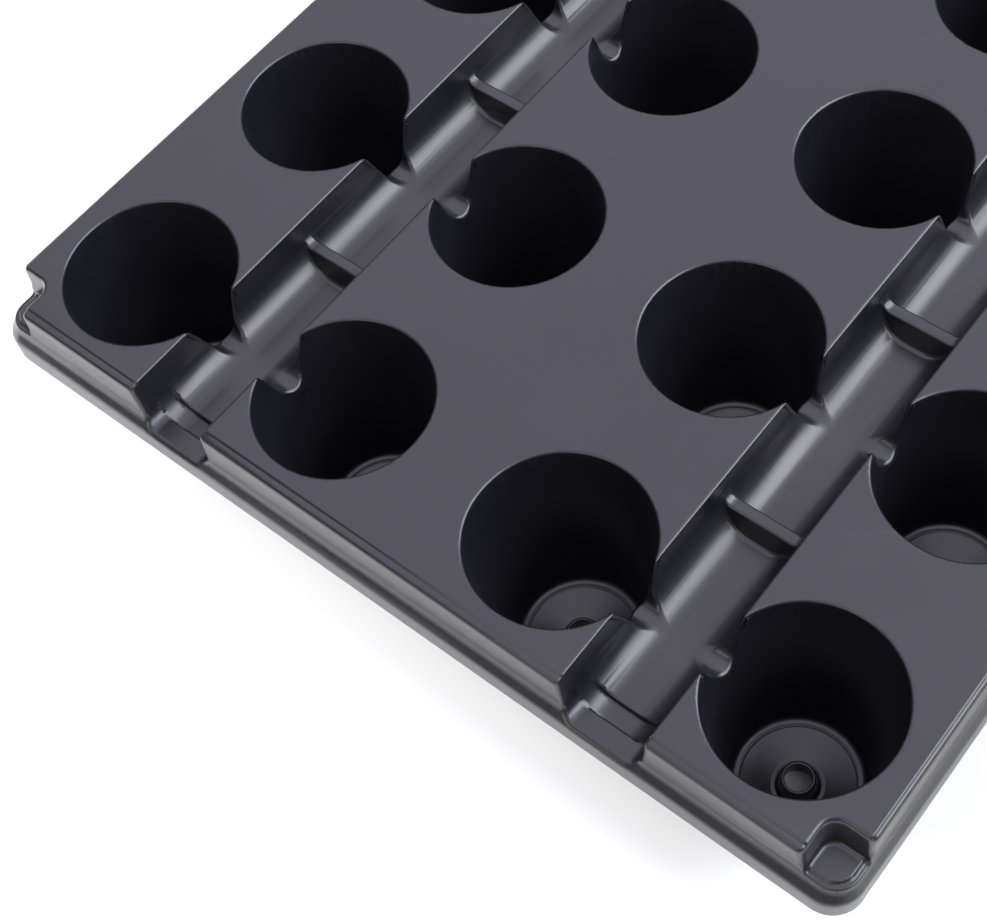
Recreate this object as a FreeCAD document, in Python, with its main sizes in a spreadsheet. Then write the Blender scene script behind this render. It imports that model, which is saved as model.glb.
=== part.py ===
import FreeCAD, Part
import math
import os
import re

import Sketcher
from FreeCAD import Vector

# A thermoformed cell tray: one sheet of plastic drawn down into rows of round tapered cells, with
# drainage channels between them, a stepped skirt and four corner notches.  The tray is modelled
# the way its mould is cut: one body is bounded by the lower face of the sheet, a second body is
# everything that stands over the sheet's upper face, and the tray is the first less the second.
#
# Frame: X across the tray, Y along it, Z up.  The origin is the middle of the footprint, on the
# surface that the cell feet stand on.  Both bodies are drawn with the deck at Z = 0 and depths
# counted down from it, and the finished tray is lifted to stand on its feet.

SIZES = [
    # name, value in millimetres, degrees or pieces, what it is
    ("columns", 4, "cells across the tray, in pairs beside a channel"),
    ("rows", 8, "cells along the tray"),
    ("pitch", 68, "distance between cell centres, both ways"),
    ("sheet", 1.2, "thickness of the formed sheet"),
    ("mouth_radius", 22.9, "cell radius at the deck"),
    ("cell_depth", 57, "deck to the edge of the cell floor"),
    ("floor_radius", 17.2, "cell radius at the edge of the floor"),
    ("dish_drop", 1.8, "fall of the cell floor from its edge to the drain collar"),
    ("collar_foot", 6.6, "radius of the drain collar at the floor"),
    ("collar_top", 4.9, "radius of the drain collar at its rim"),
    ("collar_height", 6, "cell floor to the rim of the drain collar"),
    ("drain_radius", 3.9, "radius of the drain hole"),
    ("side_margin", 30.3, "outer column centre to the skirt, at the deck"),
    ("end_margin", 29.4, "outer row centre to the skirt, at the deck"),
    ("border_drop", 0.6, "step down from the deck to the border ledge"),
    ("side_ledge", 2, "width of the border ledge along the sides"),
    ("end_ledge", 3, "width of the border ledge along the ends"),
    ("wall_height", 15, "deck to the root of the flange"),
    ("wall_lean", 0.7, "spread of the skirt wall down to the flange"),
    ("flare_height", 18, "deck to the outer edge of the flange"),
    ("flange_reach", 1.8, "how far the flange stands out past the wall"),
    ("skirt_height", 21, "deck to the trimmed edge of the skirt"),
    ("skirt_corner", 6.5, "corner radius of the skirt"),
    ("channel_half", 12, "half width of a channel at the deck"),
    ("channel_depth", 14.5, "deck to the channel floor"),
    ("channel_radius", 6.5, "radius between channel wall and floor"),
    ("draft", 6, "lean of the channel and notch walls"),
    ("rib_depth", 7.5, "deck to the top of a cross rib"),
    ("rib_half", 1.65, "half width of the top of a cross rib"),
    ("rib_draft", 12, "lean of the rib faces"),
    ("gutter_half", 7.4, "half width of a gutter at the deck"),
    ("gutter_depth", 13.8, "deck to the gutter floor"),
    ("gutter_radius", 2.5, "radius between gutter wall and floor"),
    ("gutter_draft", 18, "lean of the gutter walls"),
    ("gutter_reach", 16, "channel centre to the end of a gutter, inside the cell"),
    ("sump_start", 20.3, "outer row centre to the step into the sump"),
    ("sump_end", 25.6, "outer row centre to the outlet"),
    ("sump_step", 1.6, "how much wider and deeper the sump is than the channel"),
    ("outlet_depth", 14, "deck to the outlet floor"),
    ("outlet_radius", 3.5, "radius between outlet wall and floor"),
    ("notch_size", 11.2, "side of a corner notch at the deck"),
    ("notch_depth", 14, "deck to the notch floor"),
    ("notch_radius", 3.5, "radius of the inner corner of a notch"),
    ("pad_gap", 1.8, "groove between the foot of the notch wall and the notch pad"),
    ("pad_edge", 1.2, "groove between the notch pad and the skirt"),
    ("pad_height", 1.2, "height of the notch pad above the notch floor"),
    ("overcut", 2, "how far a cutting shape passes the face that it cuts"),
]

doc = FreeCAD.newDocument("cell_tray")
sizes = doc.addObject("Spreadsheet::Sheet", "sizes")
for line, (name, number, meaning) in enumerate(SIZES, start=1):
    sizes.set("A%d" % line, name)
    sizes.set("B%d" % line, str(number))
    sizes.set("C%d" % line, meaning)
    sizes.setAlias("B%d" % line, name)
doc.recompute()

SIZE_NAME = re.compile(r"\b(%s)\b" % "|".join(name for name, _, _ in SIZES))

# Places that several features share, as formulas over the sheet.
FIRST_COLUMN = "(1 - columns) / 2 * pitch"
FIRST_ROW = "(1 - rows) / 2 * pitch"
FIRST_CHANNEL = "(2 - columns) / 2 * pitch"
LAST_ROW = "(rows - 1) / 2 * pitch"
LAST_COLUMN = "(columns - 1) / 2 * pitch"
CHANNELS = "columns / 2"
CELL_LEAN = "(mouth_radius - floor_radius) / cell_depth"
FOOT_DEPTH = "cell_depth + dish_drop + sheet"
RIM_DEPTH = "cell_depth + dish_drop - collar_height"
SUNK = "(border_drop + sheet) / 2"
HALF_WIDTH = "%s + side_margin" % LAST_COLUMN
HALF_LENGTH = "%s + end_margin" % LAST_ROW


def number_of(formula):
    """The present value of a formula over the sheet's names."""
    found = sizes.evalExpression(formula)
    return float(getattr(found, "Value", found))


def bind(target, path, formula):
    """Tie a property of an object to a formula over the sheet's names."""
    target.setExpression(path, SIZE_NAME.sub(r"sizes.\1", formula))


def new_body(name):
    body = doc.addObject("PartDesign::Body", name)
    body.AllowCompound = True
    return body


def origin_part(body, role):
    """One of a body's own origin planes or axes."""
    return next(part for part in body.Origin.OriginFeatures if part.Role == role)


# --- sketches -------------------------------------------------------------------------------------


def new_sketch(body, name, role, right="0", up="0", out="0"):
    """A sketch on an origin plane, shifted to the right, up and out of that plane."""
    sketch = body.newObject("Sketcher::SketchObject", name)
    sketch.AttachmentSupport = [(origin_part(body, role), "")]
    sketch.MapMode = "FlatFace"
    for axis, formula in (("x", right), ("y", up), ("z", out)):
        bind(sketch, "AttachmentOffset.Base." + axis, formula)
    return sketch


def constrain(sketch, label, formula, kind, *where):
    """Add a constraint whose value follows a formula."""
    value = number_of(formula)
    if kind == "Angle":
        value = math.radians(value)
    index = sketch.addConstraint(Sketcher.Constraint(kind, *where, value))
    sketch.renameConstraint(index, label)
    bind(sketch, "Constraints." + label, formula)


def pin(sketch, label, curve, end, x, y):
    """Hold one end of a curve at two formulas."""
    constrain(sketch, label + "_x", x, "DistanceX", -1, 1, curve, end)
    constrain(sketch, label + "_y", y, "DistanceY", -1, 1, curve, end)


def draw_outline(sketch, corners):
    """A closed outline, anticlockwise, through corners that are each a pair of formulas.

    A corner with a third formula is a right angle rounded to that radius.
    """
    places = [Vector(number_of(corner[0]), number_of(corner[1]), 0) for corner in corners]
    starts = []
    for index, corner in enumerate(corners):
        x, y = corner[:2]
        if len(corner) == 2:
            starts.append((x, y, places[index], None, None))
            continue
        arriving = (places[index] - places[index - 1]).normalize()
        leaving = (places[(index + 1) % len(places)] - places[index]).normalize()
        for heading, radius in ((-arriving, corner[2]), (leaving, None)):
            formula_x = "%s + %d * (%s)" % (x, round(heading.x), corner[2])
            formula_y = "%s + %d * (%s)" % (y, round(heading.y), corner[2])
            point = Vector(number_of(formula_x), number_of(formula_y), 0)
            centre = places[index] + (leaving - arriving) * number_of(corner[2])
            starts.append((formula_x, formula_y, point, radius, centre))
    for index, (_, _, point, radius, centre) in enumerate(starts):
        if radius is None:
            sketch.addGeometry(Part.LineSegment(point, starts[(index + 1) % len(starts)][2]))
            continue
        turn = math.atan2(point.y - centre.y, point.x - centre.x)
        circle = Part.Circle(centre, Vector(0, 0, 1), number_of(radius))
        sketch.addGeometry(Part.ArcOfCircle(circle, turn, turn + math.pi / 2))
    for index, (x, y, _, radius, _) in enumerate(starts):
        sketch.addConstraint(
            Sketcher.Constraint("Coincident", (index - 1) % len(starts), 2, index, 1))
        pin(sketch, "start_%d" % index, index, 1, x, y)
        if radius is not None:
            constrain(sketch, "radius_%d" % index, radius, "Radius", index)


def draw_box(sketch, half_x, half_y, radius=None):
    """A rectangle about the sketch's origin, with rounded corners if a radius is given."""
    corners = [("-(%s)" % half_x, "-(%s)" % half_y), (half_x, "-(%s)" % half_y),
               (half_x, half_y), ("-(%s)" % half_x, half_y)]
    draw_outline(sketch, [corner + (radius,) if radius else corner for corner in corners])


def draw_trough(sketch, half, depth, radius, lean, top):
    """A U section: leaning walls up to a top edge, a flat floor, and an arc at each foot."""
    angle = math.radians(number_of(lean))
    r, bottom = number_of(radius), -number_of(depth)
    mouth_x = "%s + (%s) * tan(%s * 1 deg)" % (half, top, lean)
    mouth = Vector(number_of(mouth_x), number_of(top), 0)
    foot = number_of(half) + bottom * math.tan(angle)
    reach = r * math.tan((math.pi / 2 - angle) / 2)
    wall_end = Vector(foot + reach * math.sin(angle), bottom + reach * math.cos(angle), 0)
    floor_end = Vector(foot - reach, bottom, 0)
    floor_start, wall_start = Vector(-floor_end.x, bottom, 0), Vector(-wall_end.x, wall_end.y, 0)
    left_arc = Part.Circle(Vector(floor_start.x, bottom + r, 0), Vector(0, 0, 1), r)
    right_arc = Part.Circle(Vector(floor_end.x, bottom + r, 0), Vector(0, 0, 1), r)
    down = 1.5 * math.pi
    sketch.addGeometry([
        Part.LineSegment(Vector(-mouth.x, mouth.y, 0), wall_start),
        Part.ArcOfCircle(left_arc, math.pi + angle, down),
        Part.LineSegment(floor_start, floor_end),
        Part.ArcOfCircle(right_arc, down, 2 * math.pi - angle),
        Part.LineSegment(wall_end, mouth),
        Part.LineSegment(mouth, Vector(-mouth.x, mouth.y, 0)),
    ])
    for curve in range(4):
        sketch.addConstraint(Sketcher.Constraint("Tangent", curve, 2, curve + 1, 1))
    for curve in (4, 5):
        sketch.addConstraint(Sketcher.Constraint("Coincident", curve, 2, (curve + 1) % 6, 1))
    pin(sketch, "right", 5, 1, mouth_x, top)
    pin(sketch, "left", 0, 1, "-(%s)" % mouth_x, top)
    sketch.addConstraint(Sketcher.Constraint("Horizontal", 2))
    constrain(sketch, "floor", "-(%s)" % depth, "DistanceY", -1, 1, 2, 1)
    constrain(sketch, "left_radius", radius, "Radius", 1)
    constrain(sketch, "right_radius", radius, "Radius", 3)
    constrain(sketch, "left_lean", "(%s - 90) * 1 deg" % lean, "Angle", 0)
    constrain(sketch, "right_lean", "(90 - %s) * 1 deg" % lean, "Angle", 4)


# --- features -------------------------------------------------------------------------------------


def extrude(body, name, kind, sketch, length, both_ways=False, reverse=False):
    """A pad or a pocket of a sketch."""
    feature = body.newObject("PartDesign::" + kind, name)
    feature.Profile = sketch
    bind(feature, "Length", length)
    feature.Midplane = both_ways
    feature.Reversed = reverse
    return feature


def loft(body, name, kind, sketches):
    """A ruled loft through sketches."""
    feature = body.newObject("PartDesign::" + kind, name)
    feature.Profile = sketches[0]
    feature.Sections = sketches[1:]
    feature.Ruled = True
    return feature


def revolve(body, name, sketch):
    """A full turn of a sketch about its own vertical axis."""
    feature = body.newObject("PartDesign::Revolution", name)
    feature.Profile = sketch
    feature.ReferenceAxis = (sketch, ["V_Axis"])
    feature.Angle = 360
    return feature


def step_along(body, name, role, step, count):
    """One direction of a grid of copies."""
    row = body.newObject("PartDesign::LinearPattern", name)
    row.Direction = (origin_part(body, role), [""])
    row.Mode = "Spacing"
    bind(row, "Offset", step)
    bind(row, "Occurrences", count)
    return row


def mirror_in(body, name, role):
    """One mirroring in a middle plane of the tray."""
    image = body.newObject("PartDesign::Mirrored", name)
    image.MirrorPlane = (origin_part(body, role), [""])
    return image


def copy_feature(body, name, feature, steps):
    """Copies of a feature by steps that are applied one after the other."""
    copies = body.newObject("PartDesign::MultiTransform", name)
    copies.Originals = [feature]
    copies.Transformations = steps
    body.Tip = copies


def repeat(body, name, feature, across, step_across, along, step="pitch"):
    """Copies of a feature in a grid: so many across the tray and so many along it."""
    copy_feature(body, name, feature, [
        step_along(body, name + "_across", "X_Axis", step_across, across),
        step_along(body, name + "_along", "Y_Axis", step, along)])


def mirror(body, name, feature):
    """Copies of a feature at all four corners of the tray."""
    copy_feature(body, name, feature, [mirror_in(body, name + "_across", "YZ_Plane"),
                                       mirror_in(body, name + "_along", "XZ_Plane")])


# --- shapes that both bodies have, the lower face's one a sheet thicker all round ------------------


def draw_ribs_section(sketch, inset):
    """The section of a cross rib, narrower and lower by the inset, on past the channel floor."""
    top = "-(rib_depth + %s)" % inset
    bottom = "-(channel_depth + sheet + overcut)"
    base = "rib_half - %s + (channel_depth + sheet + overcut + (%s)) * tan(rib_draft * 1 deg)" % (
        inset, top)
    draw_outline(sketch, [("-(%s)" % base, bottom), (base, bottom),
                          ("rib_half - %s" % inset, top), ("-(rib_half - %s)" % inset, top)])


def add_ribs(body, inset, reach):
    """Cut the shape of every cross rib out of a body."""
    section = new_sketch(body, "rib_section", "YZ_Plane", FIRST_ROW + " + pitch / 2", "0",
                         FIRST_CHANNEL)
    draw_ribs_section(section, inset)
    rib = extrude(body, "rib", "Pocket", section, "2 * (%s)" % reach, both_ways=True)
    repeat(body, "ribs", rib, CHANNELS, "2 * pitch", "rows - 1")


def add_trough(body, name, section, end, start):
    """Add one trough across an end of the tray, for every channel and at both ends."""
    sketch = new_sketch(body, name + "_section", "XZ_Plane", FIRST_CHANNEL, "0",
                        "%s + %s" % (LAST_ROW, start))
    draw_trough(sketch, *section)
    trough = extrude(body, name, "Pad", sketch, "%s - (%s)" % (end, start))
    repeat(body, name + "s", trough, CHANNELS, "2 * pitch", "2",
           "2 * (%s) + %s + %s" % (LAST_ROW, start, end))


def add_channels(body, skin, top):
    """Add the channels, thicker by a skin."""
    run = new_sketch(body, "channel_section", "XZ_Plane", FIRST_CHANNEL)
    draw_trough(run, "channel_half + " + skin, "channel_depth + " + skin,
                "channel_radius + " + skin, "draft", top)
    channel = extrude(body, "channel", "Pad", run, "2 * (%s + sump_start)" % LAST_ROW,
                      both_ways=True)
    copy_feature(body, "channels", channel,
                 [step_along(body, "channels_across", "X_Axis", "2 * pitch", CHANNELS)])


def add_ends(body, skin, top, outlet_end):
    """Add the sumps, the outlets and the gutters, thicker by a skin."""
    sump = ("channel_half + sump_step + " + skin, "channel_depth + sump_step + " + skin,
            "channel_radius + " + skin, "draft", top)
    add_trough(body, "sump", sump, "sump_end + " + skin, "sump_start - " + skin)
    outlet = ("channel_half + " + skin, "outlet_depth + " + skin, "outlet_radius + " + skin,
              "draft", top)
    add_trough(body, "outlet", outlet, outlet_end, "sump_end")
    section = new_sketch(body, "gutter_section", "YZ_Plane", FIRST_ROW, "0", FIRST_CHANNEL)
    draw_trough(section, "gutter_half + " + skin, "gutter_depth + " + skin,
                "gutter_radius + " + skin, "gutter_draft", top)
    gutter = extrude(body, "gutter", "Pad", section, "2 * gutter_reach", both_ways=True)
    repeat(body, "gutters", gutter, CHANNELS, "2 * pitch", "rows")


def add_cells(body, profile):
    """Add a turned shape at every cell."""
    sketch = new_sketch(body, "cell_profile", "XZ_Plane", FIRST_COLUMN, "0", "-(%s)" % FIRST_ROW)
    draw_outline(sketch, profile)
    repeat(body, "cells", revolve(body, "cell", sketch), "columns", "pitch", "rows")


def draw_corner(sketch, size, inner_radius, margin, outer_radius):
    """A square at one corner of the tray, rounded at its inner and its outer corner."""
    left, front = "%s - (%s)" % (HALF_WIDTH, size), "%s - (%s)" % (HALF_LENGTH, size)
    right, back = "%s + %s" % (HALF_WIDTH, margin), "%s + %s" % (HALF_LENGTH, margin)
    draw_outline(sketch, [(left, front, inner_radius), (right, front),
                          (right, back, outer_radius), (left, back)])


def add_notches(body, skin, rise, margin):
    """Add the shape of a corner notch, from a rise over the deck to its floor, at each corner."""
    upper = new_sketch(body, "notch_mouth", "XY_Plane", out=rise)
    draw_corner(upper, "notch_size + %s + (%s) * tan(draft * 1 deg)" % (skin, rise),
                "notch_radius + " + skin, margin, "skirt_corner + " + margin)
    lower = new_sketch(body, "notch_floor", "XY_Plane", out="-(notch_depth + %s)" % skin)
    draw_corner(lower, "notch_size + %s - (notch_depth + %s) * tan(draft * 1 deg)" % (skin, skin),
                "notch_radius + " + skin, margin, "skirt_corner + " + margin)
    notch = loft(body, "notch", "AdditiveLoft", [upper, lower])
    mirror(body, "notches", notch)


def cut_pads(body, inset, top, height):
    """Cut the shape of the raised pad on each notch floor out of a body."""
    sketch = new_sketch(body, "pad_outline", "XY_Plane", out="-(%s)" % top)
    draw_corner(sketch, "notch_size - notch_depth * tan(draft * 1 deg) - pad_gap - " + inset,
                "notch_radius - " + inset, "-(pad_edge + %s)" % inset,
                "skirt_corner - pad_edge - " + inset)
    pad = extrude(body, "pad", "Pocket", sketch, height)
    mirror(body, "pads", pad)


# --- the body under the sheet's upper face ---------------------------------------------------------


def skirt_levels(inset, first, last):
    """Depth and growth of the skirt's outline at each level of the skirt, inset by so much."""
    return [(first, "0 - " + inset), ("wall_height", "wall_lean - " + inset),
            ("flare_height", "wall_lean + flange_reach - " + inset),
            (last, "wall_lean + flange_reach - " + inset)]


def add_skirt(body, name, kind, levels):
    """Add or cut a loft through the skirt's outline at several depths."""
    sections = []
    for index, (depth, growth) in enumerate(levels):
        sketch = new_sketch(body, "%s_%d" % (name, index), "XY_Plane", out="-(%s)" % depth)
        draw_box(sketch, "%s + %s" % (HALF_WIDTH, growth), "%s + %s" % (HALF_LENGTH, growth),
                 "skirt_corner + " + growth)
        sections.append(sketch)
    return loft(body, name, kind, sections)


def draw_plateau(sketch, inset):
    """The outline of the deck inside the border ledge."""
    draw_box(sketch, "%s - side_ledge - %s" % (HALF_WIDTH, inset),
             "%s - end_ledge - %s" % (HALF_LENGTH, inset), "skirt_corner - side_ledge - " + inset)


formed = new_body("formed")
add_skirt(formed, "skirt", "AdditiveLoft", skirt_levels("0", "border_drop", "skirt_height"))
deck = new_sketch(formed, "deck_outline", "XY_Plane", out="-border_drop")
draw_plateau(deck, "0")
extrude(formed, "deck", "Pad", deck, "border_drop")
add_skirt(formed, "hollow", "SubtractiveLoft",
          skirt_levels("sheet", "border_drop + sheet", "skirt_height + overcut"))
ceiling = new_sketch(formed, "ceiling_outline", "XY_Plane", out="-sheet")
draw_plateau(ceiling, "sheet")
extrude(formed, "ceiling", "Pocket", ceiling, "border_drop + sheet")
add_channels(formed, "sheet", "-(%s)" % SUNK)
add_ends(formed, "sheet", "-(%s)" % SUNK, "end_margin - sheet / 4")
add_ribs(formed, "sheet", "channel_half + 2 * sheet")
add_notches(formed, "sheet", "-(%s)" % SUNK, "-(sheet / 4)")
cut_pads(formed, "sheet", "notch_depth + sheet - pad_height", "pad_height + overcut")
add_cells(formed, [
    ("0", "overcut - (%s)" % RIM_DEPTH), ("drain_radius", "overcut - (%s)" % RIM_DEPTH),
    ("drain_radius", "-(%s)" % RIM_DEPTH), ("collar_foot - sheet", "-(%s)" % FOOT_DEPTH),
    ("collar_foot", "-(%s)" % FOOT_DEPTH), ("floor_radius + sheet", "-(cell_depth + sheet)"),
    ("mouth_radius + sheet - %s * %s" % (CELL_LEAN, SUNK), "-(%s)" % SUNK),
    ("0", "-(%s)" % SUNK)])

# --- the body over the sheet's upper face ----------------------------------------------------------

over = new_body("over")
add_channels(over, "0", "overcut")
add_ribs(over, "0", "channel_half + overcut")
add_ends(over, "0", "overcut", "end_margin + wall_lean + flange_reach + overcut")
add_notches(over, "0", "overcut", "wall_lean + flange_reach + overcut")
cut_pads(over, "0", "notch_depth - pad_height", "pad_height + overcut")
add_cells(over, [
    ("0", "-(%s)" % RIM_DEPTH), ("collar_top", "-(%s)" % RIM_DEPTH),
    ("collar_foot", "-(cell_depth + dish_drop)"), ("floor_radius", "-cell_depth"),
    ("mouth_radius + %s * overcut" % CELL_LEAN, "overcut"), ("0", "overcut")])

tray = doc.addObject("Part::Cut", "tray")
tray.Base = formed
tray.Tool = over
bind(tray, "Placement.Base.z", FOOT_DEPTH)
doc.recompute()

for thing in doc.Objects:
    faults = [fault for fault in thing.State if fault in ("Invalid", "Error")]
    if faults:
        raise RuntimeError("%s is %s" % (thing.Label, faults[0]))
    print(thing.Label, thing.TypeId)
if tray.Shape.isNull() or not tray.Shape.isValid() or len(tray.Shape.Solids) != 1:
    raise RuntimeError("the tray is not one valid solid")

os.makedirs("parts", exist_ok=True)
tray.Shape.exportStep("parts/tray.step")
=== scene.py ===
import logging
import math
from dataclasses import dataclass

import bmesh
import bpy
import numpy as np
from mathutils import Euler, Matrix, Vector


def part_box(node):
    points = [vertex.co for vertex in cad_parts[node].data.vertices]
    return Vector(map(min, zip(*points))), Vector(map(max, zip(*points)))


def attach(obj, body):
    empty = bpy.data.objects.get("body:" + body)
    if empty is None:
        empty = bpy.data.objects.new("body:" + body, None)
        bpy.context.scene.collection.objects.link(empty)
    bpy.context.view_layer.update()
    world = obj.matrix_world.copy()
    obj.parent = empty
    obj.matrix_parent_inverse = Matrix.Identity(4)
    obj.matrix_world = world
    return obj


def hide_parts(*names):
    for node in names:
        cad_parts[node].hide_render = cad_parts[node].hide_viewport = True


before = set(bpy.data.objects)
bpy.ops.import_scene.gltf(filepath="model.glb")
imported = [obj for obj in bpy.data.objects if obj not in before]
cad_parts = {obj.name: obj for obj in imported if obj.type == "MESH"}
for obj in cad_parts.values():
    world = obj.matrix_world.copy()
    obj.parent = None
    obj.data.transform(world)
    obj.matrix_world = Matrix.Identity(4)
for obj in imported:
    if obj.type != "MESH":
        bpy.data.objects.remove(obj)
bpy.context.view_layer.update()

MM = 0.001
TRAY_NODE = "tray"
SAME_PLACE = 1e-9  # Two lengths closer than this are the same
SNAP = 0.0001 * MM  # Points closer than this are merged
log = logging.getLogger("tray")


# --- distances and blends ---------------------------------------------------------------------


def meet(a: np.ndarray, b: np.ndarray, radius: float) -> np.ndarray:
    """The overlap of two shapes given by distance, with the edge where they meet rounded.

    Args:
        a: Distance to the first shape, negative inside it.
        b: Distance to the second shape.
        radius: Rounding of the edge.

    Returns:
        Distance to what both shapes hold.
    """
    both = np.hypot(np.maximum(radius + a, 0.0), np.maximum(radius + b, 0.0))
    return np.minimum(-radius, np.maximum(a, b)) + both


def join(a: np.ndarray, b: np.ndarray, radius: float) -> np.ndarray:
    """The sum of two shapes given by distance, with the corner between them filled.

    Args:
        a: Distance to the first shape, negative inside it.
        b: Distance to the second shape.
        radius: Fillet in the corner.

    Returns:
        Distance to what either shape holds.
    """
    return -meet(-a, -b, radius)


def step_up(value: np.ndarray, width: float) -> np.ndarray:
    """A smooth climb from 0 to 1 over a width about zero.

    Args:
        value: Where on the climb each point is.
        width: Length of the climb.

    Returns:
        The height of the climb, from 0 to 1.
    """
    share = np.clip(value / width + 0.5, 0.0, 1.0)
    return share * share * (3.0 - 2.0 * share)


def near(value: np.ndarray, reach: float) -> np.ndarray:
    """One close to a face, fading to nothing at twice the reach from it.

    Args:
        value: Distance from the face, on either side.
        reach: How far the full value goes.

    Returns:
        The share, from 1 down to 0.
    """
    return np.clip(2.0 - np.abs(value) / reach, 0.0, 1.0)


def soft_ramp(value: np.ndarray, width: float) -> np.ndarray:
    """Zero below zero and the value itself above, with the bend between them softened.

    Args:
        value: Distance past the bend.
        width: How far the bend is spread.

    Returns:
        The softened ramp.
    """
    return 0.5 * (value + np.hypot(value, width) - width)


@dataclass(frozen=True)
class TraySizes:
    """Sizes of the tray in metres. Depths count down from the deck."""

    # Cells
    columns: int = 4
    rows: int = 8
    pitch: float = 68 * MM
    sheet: float = 1.2 * MM
    mouth_radius: float = 22.9 * MM
    floor_radius: float = 17.2 * MM
    cell_depth: float = 57 * MM
    mouth_edge: float = 0.8 * MM
    mouth_edge_more: float = 0.3 * MM
    mouth_edge_change: float = 6 * MM
    seam_depth: float = 22 * MM
    cell_facets: int = 56

    # Channels and their ribs
    channel_half: float = 12 * MM
    channel_depth: float = 14.5 * MM
    channel_radius: float = 8.0 * MM
    channel_end: float = 20.3 * MM
    channel_edge: float = 0.65 * MM
    draft: float = math.radians(6)
    rib_depth: float = 7.5 * MM
    rib_half: float = 1.65 * MM
    rib_draft: float = math.radians(12)
    rib_radius: float = 3.0 * MM
    rib_edge: float = 0.5 * MM
    rib_foot: float = 0.9 * MM

    # Sumps and outlets at the channels' ends
    sump_end: float = 25.6 * MM
    sump_step: float = 1.6 * MM
    outlet_depth: float = 14 * MM
    outlet_radius: float = 3.5 * MM
    outlet_overlap: float = 0.5 * MM
    riser_edge: float = 0.6 * MM

    # Gutters from a channel into the cells beside it, and the spouts that they end in
    gutter_half: float = 7.4 * MM
    gutter_depth: float = 13.8 * MM
    gutter_radius: float = 2.5 * MM
    gutter_draft: float = math.radians(18)
    gutter_reach: float = 16 * MM
    gutter_blend: float = 0.8 * MM
    spout_reach: float = 1.2 * MM
    spout_half: float = 4.2 * MM
    spout_top: float = 10 * MM
    spout_foot: float = 17.5 * MM
    spout_fade: float = 5 * MM
    spout_side: float = 10 * MM
    spout_side_fade: float = 8 * MM

    # Corner notches and the pads on their floors
    notch_size: float = 11.2 * MM
    notch_depth: float = 10.8 * MM
    notch_radius: float = 4.0 * MM
    notch_foot: float = 1.0 * MM
    pad_gap: float = -0.6 * MM
    pad_edge: float = 1.5 * MM
    pad_slope: float = 0.9 * MM
    pad_height: float = 0.7 * MM
    pad_inner_radius: float = 2.4 * MM
    pad_outer_radius: float = 1.2 * MM
    upright_edge: float = 0.5 * MM
    upright_edge_more: float = 1.3 * MM
    upright_edge_change: float = 3 * MM

    # Border of the deck
    side_ledge: float = 1.3 * MM
    end_ledge: float = 2.7 * MM
    border_drop: float = 0.45 * MM
    border_slope: float = 0.9 * MM
    border_fade: float = 6 * MM

    # Skirt: a leaning wall, a flare and a lip
    wall_height: float = 12.2 * MM
    wall_lean: float = 0.5 * MM
    flare_height: float = 14.4 * MM
    flare_reach: float = 1.7 * MM
    flare_bend: float = 1.0 * MM
    lip_reach: float = 0.3 * MM
    lip_bend: float = 0.6 * MM
    end_reach: float = 1.0 * MM
    skirt_height: float = 21 * MM
    skirt_corner: float = 6.0 * MM
    edge_round: float = 1.2 * MM

    @property
    def spread(self) -> float:
        """How far the skirt's foot stands out past the deck's edge."""
        return self.wall_lean + self.flare_reach + self.lip_reach

    @property
    def cell_slope(self) -> float:
        """How much a cell narrows for each metre of depth."""
        return (self.mouth_radius - self.floor_radius) / self.cell_depth

    def cell_radius(self, depth: float) -> float:
        """The radius of a cell's wall at a depth."""
        return self.mouth_radius - self.cell_slope * depth


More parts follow.
